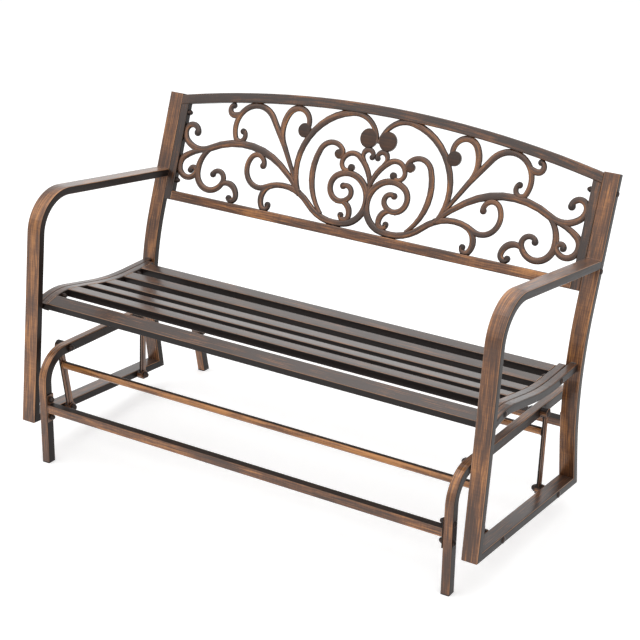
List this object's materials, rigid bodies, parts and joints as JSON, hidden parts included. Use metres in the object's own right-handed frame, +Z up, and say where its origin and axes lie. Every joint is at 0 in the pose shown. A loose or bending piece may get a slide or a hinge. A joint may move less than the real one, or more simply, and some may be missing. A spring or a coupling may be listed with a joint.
{
  "type": "glider bench",
  "caption": "Metal glider bench: a standing tube base carries a slatted seat with arms and a scrollwork back on swinging rockers.",
  "frame": {"origin": "on the floor, in the middle of the four feet", "axes": "+X along the seat to the sitter's left, +Y from the front of the seat to its back, +Z up"},
  "size_m": [1.278, 0.6926, 0.8575],
  "materials": {
    "bronze_tube": "brushed antique bronze lacquer",
    "rocker_steel": "brushed antique bronze lacquer",
    "cast_panel": "antique bronze lacquer, rubbed edges",
    "fastener": "black, semi-gloss",
    "foot_plastic": "moulded, matt"
  },
  "bodies": {
    "base": {"base_side_left": "bronze_tube", "base_side_right": "bronze_tube", "base_foot_plugs": "foot_plastic", "front_stretcher": "bronze_tube", "rear_stretcher": "bronze_tube", "front_stretcher_plates": "bronze_tube", "rear_stretcher_plates": "bronze_tube", "stretcher_bolts": "fastener", "stretcher_nuts": "fastener", "top_pivot_bolts": "fastener", "top_pivot_nuts": "fastener"},
    "front_rocker": {"front_link_left": "rocker_steel", "front_link_right": "rocker_steel", "front_cross_tube": "bronze_tube"},
    "rear_rocker": {"rear_link_left": "rocker_steel", "rear_link_right": "rocker_steel", "rear_cross_tube": "bronze_tube"},
    "seat": {"bottom_rail_left": "bronze_tube", "bottom_rail_right": "bronze_tube", "arm_post_left": "bronze_tube", "arm_post_right": "bronze_tube", "upright_left": "bronze_tube", "upright_right": "bronze_tube", "upright_caps": "bronze_tube", "seat_support_bar_left": "bronze_tube", "seat_support_bar_right": "bronze_tube", "seat_side_bar_left": "bronze_tube", "seat_side_bar_right": "bronze_tube", "seat_slat_1": "bronze_tube", "seat_slat_2": "bronze_tube", "seat_slat_3": "bronze_tube", "seat_slat_4": "bronze_tube", "seat_slat_5": "bronze_tube", "seat_slat_6": "bronze_tube", "seat_bolts": "fastener", "seat_nuts": "fastener", "back_bottom_rail": "bronze_tube", "back_top_rail": "bronze_tube", "back_stile_left": "bronze_tube", "back_stile_right": "bronze_tube", "back_scroll_panel": "cast_panel", "back_bolts": "fastener", "back_nuts": "fastener", "low_pivot_bolts": "fastener", "low_pivot_nuts": "fastener"}
  },
  "joints": [
    {"name": "glide", "type": "hinge", "parent": "base", "child": "front_rocker", "pos_m": [0, -0.2485, 0.2805], "axis": [1, 0, 0], "range_deg": [-12, 12]},
    {"name": "seat_on_front_rocker", "type": "hinge", "parent": "front_rocker", "child": "seat", "pos_m": [0, -0.2175, 0.09824], "axis": [1, 0, 0], "range_deg": [-13.7, 13.7]},
    {"name": "rear_rocker_on_base", "type": "hinge", "parent": "base", "child": "rear_rocker", "pos_m": [0, 0.0915, 0.269], "axis": [1, 0, 0], "range_deg": [-11.2, 11.2]}
  ],
  "couplings": [
    {"joint": "seat_on_front_rocker", "follows": "glide", "ratio": -1.1299},
    {"joint": "rear_rocker_on_base", "follows": "glide", "ratio": 0.918}
  ]
}
